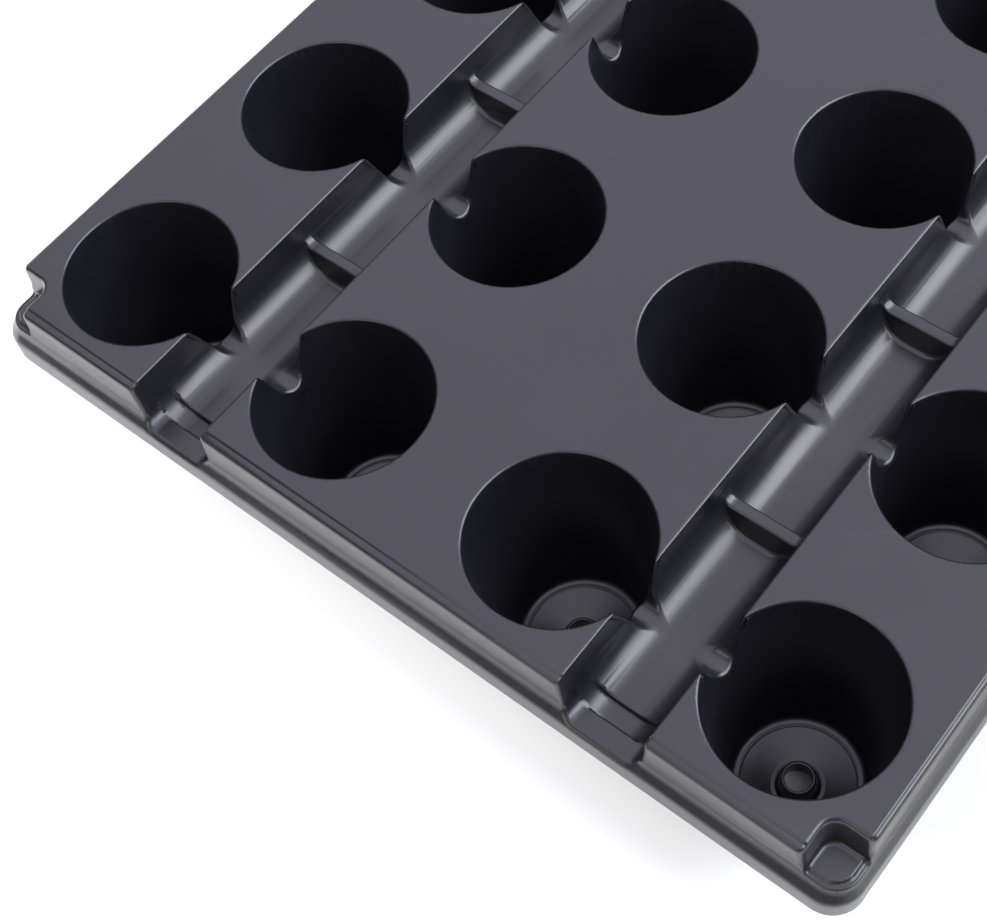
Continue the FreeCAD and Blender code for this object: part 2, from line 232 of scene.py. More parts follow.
@dataclass
class UpperFace:
    """The sheet's upper face, as a distance that is negative in the space under it.

    One quarter of the tray is described. The other three are its mirror images.
    """

    sizes: TraySizes
    half_width: float
    half_length: float
    deck: float
    probe: float = 0.002 * MM
    least_slope: float = 0.05
    longest_move: float = 0.5 * MM

    def channel_shape(self, across: np.ndarray, z: np.ndarray, half: float, depth: float,
                      radius: float) -> np.ndarray:
        """The space in a U-shaped channel.

        Args:
            across: Distance from the channel's middle line.
            z: Height above the deck.
            half: Half width at the deck.
            depth: Deck to floor.
            radius: Rounding between wall and floor.

        Returns:
            Distance to that space.
        """
        lean = self.sizes.draft
        wall = (across - half - z * math.tan(lean)) * math.cos(lean)
        return meet(wall, -(z + depth), radius)

    def drains(self, x: np.ndarray, y: np.ndarray, z: np.ndarray) -> np.ndarray:
        """The space in a channel with its ribs, its sump, its outlet and its gutters.

        Args:
            x: Distance from the tray's middle, across it.
            y: Distance from the tray's middle, along it.
            z: Height above the deck.

        Returns:
            Distance to that space.
        """
        s = self.sizes
        last_row = (s.rows - 1) / 2 * s.pitch
        across = np.abs(x - (s.columns - 2) / 2 * s.pitch)
        step, lip = last_row + s.channel_end, last_row + s.sump_end
        channel = self.channel_shape(across, z, s.channel_half, s.channel_depth, s.channel_radius)
        to_rib = np.abs(y - s.pitch * np.clip(np.round(y / s.pitch), 0, s.rows // 2 - 1))
        wall = (across - s.channel_half - z * math.tan(s.draft)) * math.cos(s.draft)
        inset = np.clip(-wall / s.riser_edge, 0.0, 1.0)
        lean = s.rib_draft
        rib = (to_rib - s.rib_half + (z + s.rib_depth) * math.tan(lean)) * math.cos(lean)
        over_rib = self.channel_shape(across, z, s.channel_half, s.rib_depth, s.rib_radius)
        channel = join(meet(channel, -rib, s.rib_foot), over_rib,
                       s.rib_edge * inset * near(rib, s.rib_edge))
        sump = self.channel_shape(across, z, s.channel_half, s.channel_depth + s.sump_step,
                                  s.channel_radius)
        sump = meet(sump, step - y, s.riser_edge)
        run = join(channel, sump, s.riser_edge * inset * near(y - step, s.riser_edge))
        run = meet(run, y - lip, s.riser_edge)
        outlet = self.channel_shape(across, z, s.channel_half, s.outlet_depth, s.outlet_radius)
        outlet = meet(outlet, lip - s.outlet_overlap - y, 0.0)
        run = join(run, outlet, s.riser_edge * inset * near(y - lip, s.riser_edge))
        return join(run, self.gutters(across, y, z), s.gutter_blend)

    def gutters(self, across: np.ndarray, y: np.ndarray, z: np.ndarray) -> np.ndarray:
        """The space in the gutters between a channel and the cells beside it.

        Args:
            across: Distance from the channel's middle line.
            y: Distance from the tray's middle, along it.
            z: Height above the deck.

        Returns:
            Distance to that space.
        """
        s = self.sizes
        to_row = np.abs(np.mod(y, s.pitch) - s.pitch / 2)
        lean = s.gutter_draft
        wall = (to_row - s.gutter_half - z * math.tan(lean)) * math.cos(lean)
        gutter = meet(wall, -(z + s.gutter_depth), s.gutter_radius)
        return meet(gutter, across - s.gutter_reach, 0.0)

    def skirt(self, x: np.ndarray, y: np.ndarray, z: np.ndarray) -> np.ndarray:
        """The space inside the skirt's outer face.

        Args:
            x: Distance from the tray's middle, across it.
            y: Distance from the tray's middle, along it.
            z: Height above the deck.

        Returns:
            Distance to that space.
        """
        s = self.sizes
        off_x = x - (self.half_width - s.skirt_corner)
        off_y = y - (self.half_length - s.skirt_corner)
        outside = np.hypot(np.maximum(off_x, 0.0), np.maximum(off_y, 0.0))
        plan = outside + np.minimum(np.maximum(off_x, off_y), 0.0) - s.skirt_corner
        facing_end = np.maximum(off_y, 0.0) / np.maximum(outside, MM)
        more = s.end_reach * np.clip(facing_end, 0.0, 1.0)
        flare = (s.flare_reach + more) / (s.flare_height - s.wall_height)
        lip = s.lip_reach / (s.skirt_height - s.flare_height)
        spread = (s.wall_lean / s.wall_height * np.clip(-z, 0.0, s.wall_height)
                  + flare * soft_ramp(-z - s.wall_height, s.flare_bend)
                  - (flare - lip) * soft_ramp(-z - s.flare_height, s.lip_bend))
        return plan - spread

    def corner(self, x: np.ndarray, y: np.ndarray, z: np.ndarray,
               skirt: np.ndarray) -> np.ndarray:
        """The space in a corner notch, over the raised pad on its floor.

        Args:
            x: Distance from the tray's middle, across it.
            y: Distance from the tray's middle, along it.
            z: Height above the deck.
            skirt: Distance to the space inside the skirt.

        Returns:
            Distance to that space.
        """
        s = self.sizes
        lean = math.tan(s.draft)
        off_x = self.half_width - s.notch_size - z * lean - x
        off_y = self.half_length - s.notch_size - z * lean - y
        foot = s.notch_size - s.notch_depth * lean - s.pad_gap
        sides = meet(self.half_width - foot - x, self.half_length - foot - y, s.pad_inner_radius)
        plan = meet(sides, skirt + s.pad_edge, s.pad_outer_radius)
        floor = s.notch_depth - s.pad_height * step_up(-plan, s.pad_slope)
        return meet(meet(off_x, off_y, s.notch_radius), -(z + floor), s.notch_foot)

    def ledge(self, x: np.ndarray, y: np.ndarray, z: np.ndarray) -> np.ndarray:
        """How far the border lies under the deck, fading out down the walls.

        Args:
            x: Distance from the tray's middle, across it.
            y: Distance from the tray's middle, along it.
            z: Height above the deck.

        Returns:
            The drop at each point.
        """
        s = self.sizes
        past = np.maximum(x - self.half_width + s.side_ledge, y - self.half_length + s.end_ledge)
        fade = step_up(z + s.border_fade, s.border_fade)
        return s.border_drop * step_up(past, s.border_slope) * fade

    def value(self, points: np.ndarray) -> np.ndarray:
        """Distance of points from the face.

        Args:
            points: Rows of x, y and z in the part's frame.

        Returns:
            One distance a point, negative under the face.
        """
        s = self.sizes
        x, y, z = np.abs(points[:, 0]), np.abs(points[:, 1]), points[:, 2] - self.deck
        z = z + self.ledge(x, y, z)
        solid = meet(z, -self.drains(x, y, z), s.channel_edge)
        off_x = np.mod(x, s.pitch) - s.pitch / 2
        off_y = np.mod(y, s.pitch) - s.pitch / 2
        wall = s.mouth_radius + s.cell_slope * z - np.hypot(off_x, off_y)
        wall = np.where(y < s.rows / 2 * s.pitch, wall, -1.0)
        wall = (wall - self.spout(x, off_x, off_y, z)) / math.hypot(1.0, s.cell_slope)
        mouth = s.mouth_edge + s.mouth_edge_more * step_up(-z - s.mouth_edge_change,
                                                           s.mouth_edge_change)
        solid = meet(solid, wall, mouth)
        skirt = self.skirt(x, y, z)
        notch = self.corner(x, y, z, skirt)
        upright = s.upright_edge + s.upright_edge_more * step_up(
            z + s.notch_depth - s.upright_edge_change, s.upright_edge_change)
        return meet(solid, meet(skirt, -notch, upright), s.edge_round)

    def spout(self, x: np.ndarray, off_x: np.ndarray, off_y: np.ndarray,
              z: np.ndarray) -> np.ndarray:
        """How far a cell's wall swells out to carry its gutter's end.

        Args:
            x: Distance from the tray's middle, across it.
            off_x: Distance from the cell's middle, across the tray.
            off_y: Distance from the cell's middle, along the tray.
            z: Height above the deck.

        Returns:
            The swelling at each point.
        """
        s = self.sizes
        to_channel = np.where(x > (s.columns - 2) / 2 * s.pitch, -off_x, off_x)
        across = np.clip(1.0 - (off_y / s.spout_half) ** 2, 0.0, 1.0) ** 2
        down = step_up(-z - s.spout_top, s.spout_fade) * step_up(z + s.spout_foot, s.spout_fade)
        beside = step_up(to_channel - s.spout_side, s.spout_side_fade)
        return s.spout_reach * across * down * beside

    def gradient(self, points: np.ndarray) -> np.ndarray:
        """Direction in which the distance grows, straight off the face.

        Args:
            points: Rows of x, y and z.

        Returns:
            One vector a point.
        """
        slopes = np.empty_like(points)
        for axis in range(3):
            nudge = np.zeros(3)
            nudge[axis] = self.probe
            slopes[:, axis] = self.value(points + nudge) - self.value(points - nudge)
        return slopes / (2 * self.probe)

    def settle(self, points: np.ndarray, held: np.ndarray, rounds: int = 5) -> np.ndarray:
        """Move points onto the face.

        Args:
            points: Rows of x, y and z.
            held: True for each coordinate that mustn't change.
            rounds: How many times each point is moved.

        Returns:
            The moved points.
        """
        for _ in range(rounds):
            slope = np.where(held, 0.0, self.gradient(points))
            size = np.maximum((slope * slope).sum(1), self.least_slope)
            move = slope * (self.value(points) / size)[:, None]
            length = np.linalg.norm(move, axis=1, keepdims=True)
            share = np.minimum(1.0, self.longest_move / np.maximum(length, SAME_PLACE))
            points = points - move * share
        return points


@dataclass
class Skin:
    """Points, triangles and the way each point faces, for one face of the sheet."""

    points: np.ndarray
    triangles: np.ndarray
    normals: np.ndarray


@dataclass
class QuarterMesher:
    """Turns one quarter of the upper face into triangles, fine at the bends and coarse on flats."""

    face: UpperFace
    spacing: float = 0.75 * MM
    target: int = 20500
    clearance: float = 1 * MM
    hold_share: float = 0.3

    def axis(self, length: float) -> np.ndarray:
        """Grid lines that straddle zero and pass a length."""
        return (np.arange(math.ceil(length / self.spacing) + 2) - 0.5) * self.spacing

    def net(self) -> tuple[np.ndarray, np.ndarray]:
        """Wrap the face in a net of four-sided cells.

        Returns:
            Points, and four point numbers for each cell.
        """
        s = self.face.sizes
        margin = s.spread + s.end_reach + self.clearance
        xs = self.axis(self.face.half_width + margin)
        ys = self.axis(self.face.half_length + margin)
        zs = self.axis(s.skirt_height + self.clearance) + self.face.deck - s.skirt_height
        lines = (xs, ys, zs)
        grid = np.stack(np.meshgrid(*lines, indexing="ij"), axis=-1)
        values = self.face.value(grid.reshape(-1, 3)).reshape(grid.shape[:3])
        cells = np.array(values.shape) - 1
        total = np.zeros((cells.prod(), 3))
        count = np.zeros(cells.prod())
        edges = []
        for axis in range(3):
            ends = [slice(None)] * 3
            ends[axis] = slice(0, -1)
            low = values[tuple(ends)]
            ends[axis] = slice(1, None)
            high = values[tuple(ends)]
            corner = np.argwhere((low < 0) != (high < 0))
            low, high = low[tuple(corner.T)], high[tuple(corner.T)]
            place = np.stack([line[corner[:, i]] for i, line in enumerate(lines)], axis=1)
            place[:, axis] += self.spacing * low / (low - high)
            one, two = (axis + 1) % 3, (axis + 2) % 3
            around = []
            for step_one, step_two in ((-1, -1), (0, -1), (0, 0), (-1, 0)):
                cell = corner.copy()
                cell[:, one] += step_one
                cell[:, two] += step_two
                real = np.all((cell >= 0) & (cell < cells), axis=1)
                inside = np.clip(cell, 0, cells - 1)
                number = np.where(real, np.ravel_multi_index(inside.T, cells), -1)
                np.add.at(total, number[real], place[real])
                np.add.at(count, number[real], 1)
                around.append(number)
            quad = np.stack(around, axis=1)
            quad = np.where((low < 0)[:, None], quad, quad[:, ::-1])
            edges.append(quad[np.all(quad >= 0, axis=1)])
        used = count > 0
        renumber = np.cumsum(used) - 1
        return total[used] / count[used][:, None], renumber[np.concatenate(edges)]

    def hold(self, points: np.ndarray, rim: np.ndarray) -> tuple[np.ndarray, np.ndarray]:
        """Put the quarter's border exactly on its middle planes and its lowest plane.

        Args:
            points: Rows of x, y and z.
            rim: True for each point on the quarter's border.

        Returns:
            The points, and True for each coordinate that has to stay.
        """
        floor = self.face.deck - self.face.sizes.skirt_height
        reach = self.hold_share * self.spacing
        held = np.zeros(points.shape, bool)
        for axis, level in ((0, 0.0), (1, 0.0), (2, floor)):
            held[:, axis] = rim & (np.abs(points[:, axis] - level) < reach)
            points[held[:, axis], axis] = level
        return points, held

    def thin(self, points: np.ndarray, quads: np.ndarray) -> bpy.types.Mesh:
        """Merge triangles where the face is flat, and cut it along the border ledge.

        Args:
            points: Rows of x, y and z.
            quads: Four point numbers for each cell.

        Returns:
            A mesh of triangles.
        """
        fine = bpy.data.meshes.new("quarter_fine")
        fine.from_pydata(points.tolist(), [], quads.tolist())
        carrier = bpy.data.objects.new("quarter_fine", fine)
        bpy.context.scene.collection.objects.link(carrier)
        fewer = carrier.modifiers.new("fewer", "DECIMATE")
        fewer.ratio = self.target / (2 * len(quads))
        fewer.use_collapse_triangulate = True
        mesh = bpy.data.meshes.new_from_object(
            carrier.evaluated_get(bpy.context.evaluated_depsgraph_get()))
        bpy.data.objects.remove(carrier)
        bpy.data.meshes.remove(fine)
        work = bmesh.new()
        work.from_mesh(mesh)
        s = self.face.sizes
        for axis, level in ((0, self.face.half_width - s.side_ledge),
                            (1, self.face.half_length - s.end_ledge)):
            for side in (-1, 0, 1):
                normal = Vector((0, 0, 0))
                normal[axis] = 1
                bmesh.ops.bisect_plane(work, geom=work.verts[:] + work.edges[:] + work.faces[:],
                                       plane_co=normal * (level + side * s.border_slope / 2),
                                       plane_no=normal, dist=SNAP)
        bmesh.ops.triangulate(work, faces=work.faces[:])
        work.to_mesh(mesh)
        work.free()
        return mesh

    def build(self) -> Skin:
        """Mesh the quarter and lay it on the face.

        Returns:
            The quarter's skin.
        """
        points, quads = self.net()
        floor = self.face.deck - self.face.sizes.skirt_height
        low_layer = points[:, 2] < floor + 0.5 * self.spacing
        edge_layer = np.any(np.abs(points[:, :2]) < SAME_PLACE, axis=1)
        points, held = self.hold(points, low_layer | edge_layer)
        points = self.face.settle(points, held)
        mesh = self.thin(points, quads)
        points = np.empty(len(mesh.vertices) * 3)
        mesh.vertices.foreach_get("co", points)
        points = points.reshape(-1, 3)
        triangles = np.array([list(polygon.vertices) for polygon in mesh.polygons])
        bpy.data.meshes.remove(mesh)
        rim = np.zeros(len(points), bool)
        rim[border_edges(triangles).ravel()] = True
        points, held = self.hold(points, rim)
        points = self.face.settle(points, held)
        return self.with_rings(points, triangles)

    def with_rings(self, points: np.ndarray, triangles: np.ndarray) -> Skin:
        """Finish each cell's lower border with an even ring of points.

        Args:
            points: Rows of x, y and z.
            triangles: Three point numbers each.

        Returns:
            The skin, ending at each cell in a ring that the cell's cup starts from.
        """
        s = self.face.sizes
        loose = border_edges(triangles)
        floor = self.face.deck - s.skirt_height
        turns = np.arange(s.cell_facets) * 2 * math.pi / s.cell_facets
        radius = s.cell_radius(s.seam_depth)
        seam = self.face.deck - s.seam_depth
        for column in range(s.columns // 2):
            for row in range(s.rows // 2):
                centre = (np.array([column, row]) + 0.5) * s.pitch
                offset = points[:, :2] - centre
                reach = np.hypot(offset[:, 0], offset[:, 1])
                mine = (reach < s.mouth_radius) & (points[:, 2] < floor + SAME_PLACE)
                upper = np.unique(loose[np.all(mine[loose], axis=1)])
                angle = np.mod(np.arctan2(offset[upper, 1], offset[upper, 0]), 2 * math.pi)
                upper = upper[np.argsort(angle)]
                start = len(points)
                ring = np.stack([centre[0] + radius * np.cos(turns),
                                 centre[1] + radius * np.sin(turns),
                                 np.full(len(turns), seam)], axis=1)
                points = np.concatenate([points, ring])
                lower = np.arange(start, start + len(turns))
                triangles = np.concatenate([triangles, zip_rings(
                    upper, np.sort(angle), lower, turns)])
        normals = self.face.gradient(points)
        normals /= np.linalg.norm(normals, axis=1, keepdims=True)
        return Skin(points, triangles, normals)


def border_edges(triangles: np.ndarray) -> np.ndarray:
    """Edges that only one triangle has.

    Args:
        triangles: Three point numbers each.

    Returns:
        Two point numbers for each edge, in the direction its triangle runs.
    """
    edges = np.concatenate([triangles[:, [0, 1]], triangles[:, [1, 2]], triangles[:, [2, 0]]])
    _, first, count = np.unique(np.sort(edges, axis=1), axis=0, return_index=True,
                                return_counts=True)
    return edges[first[count == 1]]


def zip_rings(upper: np.ndarray, upper_turns: np.ndarray, lower: np.ndarray,
              lower_turns: np.ndarray) -> np.ndarray:
    """A band of triangles between two rings of points about one axis, facing that axis.

    Args:
        upper: Point numbers of the upper ring, in order round it.
        upper_turns: Their angles, rising.
        lower: Point numbers of the lower ring.
        lower_turns: Their angles, rising.

    Returns:
        Three point numbers each.
    """
    full = 2 * math.pi
    up, down = 0, 0
    band = []
    while up < len(upper) or down < len(lower):
        here_up, here_down = upper[up - 1], lower[down - 1]
        next_up = upper_turns[up] if up < len(upper) else upper_turns[0] + full
        next_down = lower_turns[down] if down < len(lower) else lower_turns[0] + full
        if down >= len(lower) or (up < len(upper) and next_up <= next_down):
            band.append((here_up, upper[up], here_down))
            up += 1
        else:
            band.append((here_up, lower[down], here_down))
            down += 1
    return np.array(band)


@dataclass
class SheetPiece:
    """The formed sheet down to the seam round each cell: deck, channels, notches and skirt."""

    sizes: TraySizes
    face: UpperFace

    def whole(self, quarter: Skin) -> Skin:
        """Mirror a quarter in both middle planes and close the joins.

        Args:
            quarter: One quarter's skin.

        Returns:
            The whole tray's skin.
        """
        points, normals, triangles = [], [], []
        for index, signs in enumerate(((1, 1), (-1, 1), (-1, -1), (1, -1))):
            flip = np.array([signs[0], signs[1], 1])
            points.append(quarter.points * flip)
            normals.append(quarter.normals * flip)
            turned = quarter.triangles if signs[0] * signs[1] > 0 else quarter.triangles[:, ::-1]
            triangles.append(turned + index * len(quarter.points))
        points, normals = np.concatenate(points), np.concatenate(normals)
        keys = np.round(points / SNAP).astype(np.int64)
        _, first, inverse = np.unique(keys, axis=0, return_index=True, return_inverse=True)
        merged = inverse.reshape(-1)[np.concatenate(triangles)]
        kept = ((merged[:, 0] != merged[:, 1]) & (merged[:, 1] != merged[:, 2])
                & (merged[:, 2] != merged[:, 0]))
        return Skin(points[first], merged[kept], normals[first])

    def build(self, name: str) -> bpy.types.Object:
        """Make the sheet as one closed piece with its real thickness.

        Args:
            name: Name of the piece.

        Returns:
            The finished object.
        """
        upper = self.whole(QuarterMesher(self.face).build())
        under = upper.points - upper.normals * self.sizes.sheet
        count = len(upper.points)
        rim = border_edges(upper.triangles)
        walls = np.stack([rim[:, 1], rim[:, 0], rim[:, 0] + count, rim[:, 1] + count], axis=1)
        faces = (upper.triangles.tolist() + (upper.triangles[:, ::-1] + count).tolist()
                 + walls.tolist())
        mesh = bpy.data.meshes.new(name)
        mesh.from_pydata(np.concatenate([upper.points, under]).tolist(), [], faces)
        mesh.shade_smooth()
        facing = np.concatenate([upper.normals, -upper.normals])
        flat = np.array([tuple(polygon.normal) for polygon in mesh.polygons[-len(walls):]])
        loops = np.empty(len(mesh.loops), int)
        mesh.loops.foreach_get("vertex_index", loops)
        normals = facing[loops]
        normals[-4 * len(walls):] = np.repeat(flat, 4, axis=0)
        mesh.normals_split_custom_set(normals.tolist())
        piece = bpy.data.objects.new(name, mesh)
        bpy.context.scene.collection.objects.link(piece)
        return piece


def rounded(corners: list[tuple[float, float, float]], steps: int = 4) -> list[tuple[float, float]]:
    """A closed line through corners, each rounded by its own radius.

    Args:
        corners: Two coordinates and a radius each.
        steps: Points on each rounding.

    Returns:
        The line's points.
    """
    line = []
    nearly_straight = 0.02
    for index, (x, y, radius) in enumerate(corners):
        here = np.array([x, y])
        back = np.array(corners[index - 1][:2]) - here
        on = np.array(corners[(index + 1) % len(corners)][:2]) - here
        back, on = back / np.linalg.norm(back), on / np.linalg.norm(on)
        half = math.acos(float(np.clip(back @ on, -1, 1))) / 2
        if radius <= 0 or math.cos(half) < nearly_straight:
            line.append((x, y))
            continue
        reach = radius / math.tan(half)
        centre = here + (back + on) / np.linalg.norm(back + on) * radius / math.sin(half)
        start, end = here + back * reach - centre, here + on * reach - centre
        for step in range(steps + 1):
            share = step / steps
            arm = start * (1 - share) + end * share
            arm *= radius / np.linalg.norm(arm)
            line.append(tuple(centre + arm))
    return line


@dataclass
class CupsPiece:
    """The cells under the seam: tapered walls, dished floors and drain collars."""

    sizes: TraySizes
    deck: float
    ledge_depth: float = 55.9 * MM
    dish_radius: float = 14.7 * MM
    dish_depth: float = 56.15 * MM
    moat_radius: float = 6.8 * MM
    floor_depth: float = 58.8 * MM
    collar_foot: float = 5.5 * MM
    collar_top: float = 4.3 * MM
    rim_depth: float = 52.8 * MM
    drain_radius: float = 3.4 * MM
    wall_foot_round: float = 2.0 * MM
    ring_half: float = 0.2 * MM
    ring_round: float = 0.3 * MM
    dish_round: float = 0.4 * MM
    moat_round: float = 1.6 * MM
    collar_foot_round: float = 0.5 * MM
    collar_rim_round: float = 0.45 * MM
    drain_round: float = 0.35 * MM
    bore_foot_round: float = 0.3 * MM
    foot_inner_round: float = 0.4 * MM
    foot_outer_round: float = 1.0 * MM
    under_wall_round: float = 1.4 * MM
    sharp_angle: float = math.radians(50)

    def outline(self) -> list[tuple[float, float]]:
        """The cup's section: down its inner face, and back up its outer face.

        Returns:
            Radius and depth of each point.
        """
        s = self.sizes
        lean = math.hypot(1.0, s.cell_slope)
        top, radius = s.seam_depth, s.cell_radius(s.seam_depth)
        thick = s.sheet
        inner = [
            (radius, top, 0.0),
            (s.floor_radius, self.ledge_depth, self.wall_foot_round),
            (self.dish_radius + self.ring_half, self.ledge_depth, self.ring_round),
            (self.dish_radius - self.ring_half, self.dish_depth, self.dish_round),
            (self.moat_radius, self.floor_depth, self.moat_round),
            (self.collar_foot, self.floor_depth, self.collar_foot_round),
            (self.collar_top, self.rim_depth, self.collar_rim_round),
            (self.drain_radius, self.rim_depth, self.drain_round)]
        outer = [
            (self.collar_foot - thick, self.floor_depth + thick, self.bore_foot_round),
            (self.collar_foot, self.floor_depth + thick, self.foot_inner_round),
            (self.moat_radius + thick, self.floor_depth + thick, self.foot_outer_round),
            (s.floor_radius + thick, self.dish_depth + thick, self.under_wall_round),
            (radius + thick / lean, top + thick * s.cell_slope / lean, 0.0)]
        return rounded(inner + outer)

    def tree(self, finish: bpy.types.Material) -> bpy.types.NodeTree:
        """Nodes that turn the section round and set a cup at every cell.

        Args:
            finish: Material of the cups.

        Returns:
            The node tree.
        """
        tree = bpy.data.node_groups.new("cups_in_rows", "GeometryNodeTree")
        face = tree.interface
        face.new_socket("Geometry", in_out="INPUT", socket_type="NodeSocketGeometry")
        for name, kind in (("Facets", "Int"), ("Columns", "Int"), ("Rows", "Int"),
                           ("Pitch", "Float"), ("Turn Radius", "Float"), ("Height", "Float")):
            face.new_socket(name, in_out="INPUT", socket_type="NodeSocket" + kind)
        face.new_socket("Geometry", in_out="OUTPUT", socket_type="NodeSocketGeometry")
        make = tree.nodes.new
        given, result = make("NodeGroupInput"), make("NodeGroupOutput")
        section, circle = make("GeometryNodeMeshToCurve"), make("GeometryNodeCurvePrimitiveCircle")
        turn = make("GeometryNodeCurveToMesh")
        grid = make("GeometryNodeMeshGrid")
        raise_up = make("GeometryNodeTransform")
        place = make("ShaderNodeCombineXYZ")
        copies = make("GeometryNodeInstanceOnPoints")
        real = make("GeometryNodeRealizeInstances")
        smooth = make("GeometryNodeSetShadeSmooth")
        dress = make("GeometryNodeSetMaterial")
        dress.inputs["Material"].default_value = finish
        link = tree.links.new
        link(given.outputs["Geometry"], section.inputs["Mesh"])
        link(given.outputs["Facets"], circle.inputs["Resolution"])
        link(given.outputs["Turn Radius"], circle.inputs["Radius"])
        link(circle.outputs["Curve"], turn.inputs["Curve"])
        link(section.outputs["Curve"], turn.inputs["Profile Curve"])
        for count, lines, size in (("Columns", "Vertices X", "Size X"),
                                   ("Rows", "Vertices Y", "Size Y")):
            gaps, length = make("ShaderNodeMath"), make("ShaderNodeMath")
            gaps.operation, length.operation = "SUBTRACT", "MULTIPLY"
            gaps.inputs[1].default_value = 1
            link(given.outputs[count], gaps.inputs[0])
            link(gaps.outputs[0], length.inputs[0])
            link(given.outputs["Pitch"], length.inputs[1])
            link(length.outputs[0], grid.inputs[size])
            link(given.outputs[count], grid.inputs[lines])
        link(given.outputs["Height"], place.inputs["Z"])
        link(grid.outputs["Mesh"], raise_up.inputs["Geometry"])
        link(place.outputs[0], raise_up.inputs["Translation"])
        link(raise_up.outputs["Geometry"], copies.inputs["Points"])
        link(turn.outputs["Mesh"], copies.inputs["Instance"])
        link(copies.outputs["Instances"], real.inputs["Geometry"])
        link(real.outputs["Geometry"], smooth.inputs["Geometry"])
        link(smooth.outputs["Geometry"], dress.inputs["Geometry"])
        link(dress.outputs["Geometry"], result.inputs["Geometry"])
        return tree

    def build(self, name: str, finish: bpy.types.Material) -> bpy.types.Object:
        """Make every cup as one mesh.

        Args:
            name: Name of the piece.
            finish: Material of the cups.

        Returns:
            The finished object.
        """
        s = self.sizes
        turn_radius = s.floor_radius
        section = bpy.data.meshes.new("cup_section")
        points = [(radius - turn_radius, depth, 0.0) for radius, depth in self.outline()]
        count = len(points)
        section.from_pydata(points, [(i, (i + 1) % count) for i in range(count)], [])
        carrier = bpy.data.objects.new("cup_section", section)
        bpy.context.scene.collection.objects.link(carrier)
        rows = carrier.modifiers.new("rows", "NODES")
        rows.node_group = self.tree(finish)
        values = {"Facets": s.cell_facets, "Columns": s.columns, "Rows": s.rows, "Pitch": s.pitch,
                  "Turn Radius": turn_radius, "Height": self.deck}
        for socket in rows.node_group.interface.items_tree:
            if socket.in_out == "INPUT" and socket.name in values:
                rows[socket.identifier] = values[socket.name]
        mesh = bpy.data.meshes.new_from_object(
            carrier.evaluated_get(bpy.context.evaluated_depsgraph_get()))
        bpy.data.objects.remove(carrier)
        work = bmesh.new()
        work.from_mesh(mesh)
        bmesh.ops.recalc_face_normals(work, faces=work.faces[:])
        work.to_mesh(mesh)
        work.free()
        mesh.set_sharp_from_angle(angle=self.sharp_angle)
        mesh.name = name
        piece = bpy.data.objects.new(name, mesh)
        bpy.context.scene.collection.objects.link(piece)
        return piece


# --- finishes ---------------------------------------------------------------------------------


